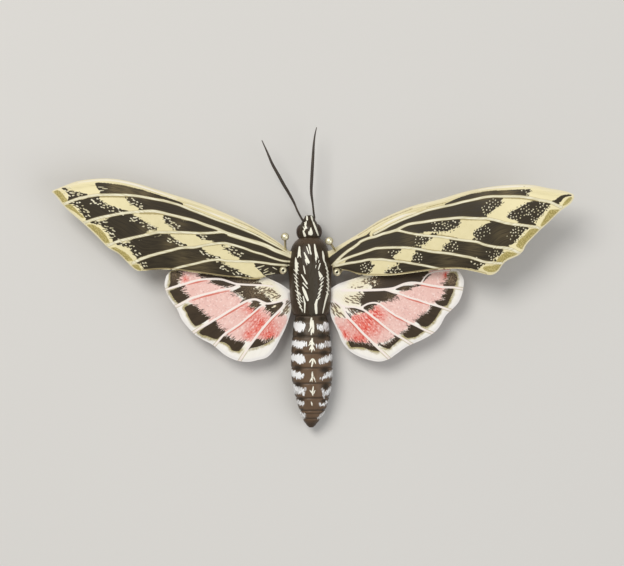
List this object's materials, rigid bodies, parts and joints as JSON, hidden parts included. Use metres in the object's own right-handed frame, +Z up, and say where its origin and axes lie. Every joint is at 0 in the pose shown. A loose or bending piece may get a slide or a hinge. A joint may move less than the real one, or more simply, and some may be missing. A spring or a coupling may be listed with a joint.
{
  "type": "hawk moth model",
  "caption": "Hand-painted hawk moth lying with its wings spread: banded body, spindle antennae, folded legs, and ball-headed pins through the forewing roots.",
  "frame": {"origin": "on the flat of the belly, under the middle of the thorax", "axes": "+X across the wings to the moth's right side, +Y towards the head, +Z up from the belly"},
  "size_m": [0.0905, 0.0527, 0.0113],
  "materials": {
    "body": "hand-painted dark brown with cream strokes, satin",
    "limbs": "dark brown, matt",
    "forewings": "hand-painted cream and dark brown, satin",
    "hindwings": "hand-painted pink, cream and dark brown, satin",
    "pins": "pale polished brass"
  },
  "bodies": {
    "root": {"head": "body", "thorax": "body", "abdomen": "body", "left_antenna": "limbs", "right_antenna": "limbs", "left_forewing": "forewings", "right_forewing": "forewings", "left_hindwing": "hindwings", "right_hindwing": "hindwings", "left_front_leg": "limbs", "left_middle_leg": "limbs", "left_hind_leg": "limbs", "right_front_leg": "limbs", "right_middle_leg": "limbs", "right_hind_leg": "limbs", "left_front_pin": "pins", "left_rear_pin": "pins", "right_front_pin": "pins", "right_rear_pin": "pins"}
  },
  "joints": []
}
